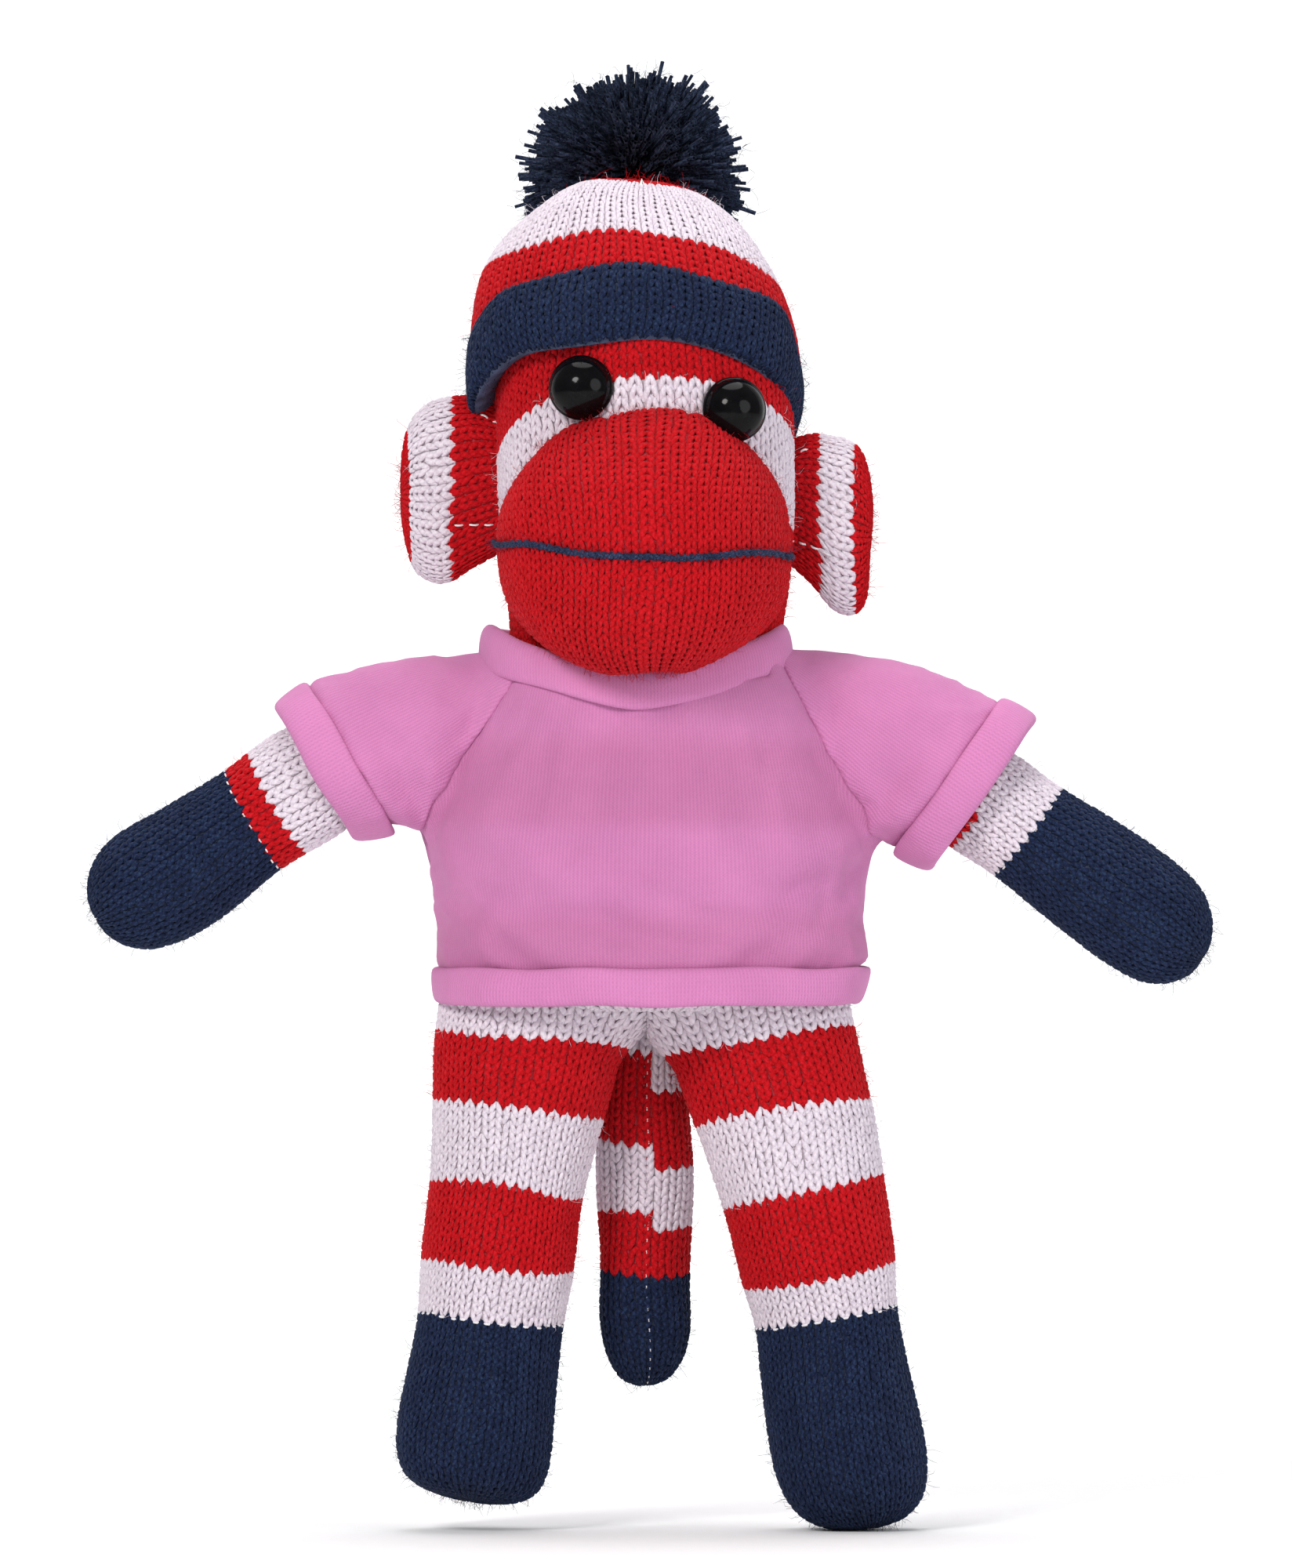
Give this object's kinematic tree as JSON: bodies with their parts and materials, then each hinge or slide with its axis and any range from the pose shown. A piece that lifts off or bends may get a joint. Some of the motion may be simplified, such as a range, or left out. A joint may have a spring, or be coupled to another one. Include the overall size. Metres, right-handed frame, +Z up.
{
  "type": "sock puppet",
  "caption": "Stuffed sock monkey in red, white and navy knit with a pompom hat, button eyes and a plain pink T-shirt; head, ears, arms, legs and tail move.",
  "frame": {"origin": "middle of the bounding box's bottom face, within 1 mm: mid-width, under the neck from front to back, level with the lower foot's tip", "axes": "+Z up, the face looks along -Y, +X to the right of someone facing it"},
  "size_m": [0.2086, 0.0966, 0.2755],
  "materials": {
    "striped_knit": "chunky stockinette in red and white bands",
    "navy_knit": "chunky stockinette",
    "navy_yarn": "cut and twisted wool yarn",
    "pink_jersey": "fine jersey",
    "pink_rib": "folded and stitched jersey band",
    "black_plastic": "polished dome",
    "white_plastic": "moulded",
    "stuffing": "loose fibre filling"
  },
  "bodies": {
    "torso": {"body_skin": "striped_knit", "body_stuffing": "stuffing", "shirt_front": "pink_jersey", "shirt_back": "pink_jersey", "hem_band": "pink_rib", "neckband": "pink_rib"},
    "neck": {"neck_skin": "striped_knit", "neck_stuffing": "stuffing", "neck_thread": "navy_yarn"},
    "head": {"head_skin": "striped_knit", "head_stuffing": "stuffing", "muzzle_skin": "striped_knit", "muzzle_stuffing": "stuffing", "mouth_yarn": "navy_yarn", "eye_left": "black_plastic", "eye_right": "black_plastic", "eye_washer_left": "white_plastic", "eye_washer_right": "white_plastic", "hat_crown": "striped_knit", "hat_cuff": "navy_knit"},
    "ear_left": {"ear_left": "striped_knit"},
    "ear_right": {"ear_right": "striped_knit"},
    "pompom": {"pompom": "navy_yarn", "pompom_tie": "navy_yarn"},
    "arm_left": {"arm_skin_left": "striped_knit", "hand_skin_left": "navy_knit", "arm_stuffing_left": "stuffing", "sleeve_left": "pink_jersey", "sleeve_cuff_left": "pink_rib"},
    "arm_right": {"arm_skin_right": "striped_knit", "hand_skin_right": "navy_knit", "arm_stuffing_right": "stuffing", "sleeve_right": "pink_jersey", "sleeve_cuff_right": "pink_rib"},
    "leg_left": {"leg_skin_left": "striped_knit", "foot_skin_left": "navy_knit", "leg_stuffing_left": "stuffing"},
    "leg_right": {"leg_skin_right": "striped_knit", "foot_skin_right": "navy_knit", "leg_stuffing_right": "stuffing"},
    "tail": {"tail_skin": "striped_knit", "tail_tip": "navy_knit", "tail_stuffing": "stuffing"}
  },
  "joints": [
    {"name": "head_turn", "type": "hinge", "parent": "torso", "child": "neck", "pos_m": [-0.001, 0, 0.17], "axis": [0, 0, 1], "range_deg": [-27, 27], "stiffness_Nm_per_rad": 0.02},
    {"name": "head_nod", "type": "hinge", "parent": "neck", "child": "head", "pos_m": [-0.001, 0, 0.17], "axis": [1, 0, 0], "range_deg": [-14, 2], "stiffness_Nm_per_rad": 0.02},
    {"name": "arm_left_raise", "type": "hinge", "parent": "torso", "child": "arm_left", "pos_m": [-0.039, 0, 0.151], "axis": [0, 1, 0], "range_deg": [-12, 65], "stiffness_Nm_per_rad": 0.01},
    {"name": "arm_right_raise", "type": "hinge", "parent": "torso", "child": "arm_right", "pos_m": [0.04, 0, 0.151], "axis": [0, -1, 0], "range_deg": [-12, 65], "stiffness_Nm_per_rad": 0.01},
    {"name": "leg_left_swing", "type": "hinge", "parent": "torso", "child": "leg_left", "pos_m": [-0.0235, 0, 0.079], "axis": [-1, 0, 0], "range_deg": [-20, 88], "stiffness_Nm_per_rad": 0.005},
    {"name": "leg_right_swing", "type": "hinge", "parent": "torso", "child": "leg_right", "pos_m": [0.024, 0, 0.079], "axis": [-1, 0, 0], "range_deg": [-20, 88], "stiffness_Nm_per_rad": 0.005},
    {"name": "tail_lift", "type": "hinge", "parent": "torso", "child": "tail", "pos_m": [-0.0006, 0.014, 0.0878], "axis": [1, 0, 0], "range_deg": [0, 70], "stiffness_Nm_per_rad": 0.002},
    {"name": "ear_left_fold", "type": "hinge", "parent": "head", "child": "ear_left", "pos_m": [-0.0312, 0, 0.196], "axis": [0, 0, 1], "range_deg": [-30, 30], "stiffness_Nm_per_rad": 0.002},
    {"name": "ear_right_fold", "type": "hinge", "parent": "head", "child": "ear_right", "pos_m": [0.0292, 0, 0.192], "axis": [0, 0, -1], "range_deg": [-30, 30], "stiffness_Nm_per_rad": 0.002},
    {"name": "pompom_wobble", "type": "hinge", "parent": "head", "child": "pompom", "pos_m": [-0.003, 0.0202, 0.247], "axis": [1, 0, 0], "range_deg": [-8, 8], "stiffness_Nm_per_rad": 0.003}
  ]
}
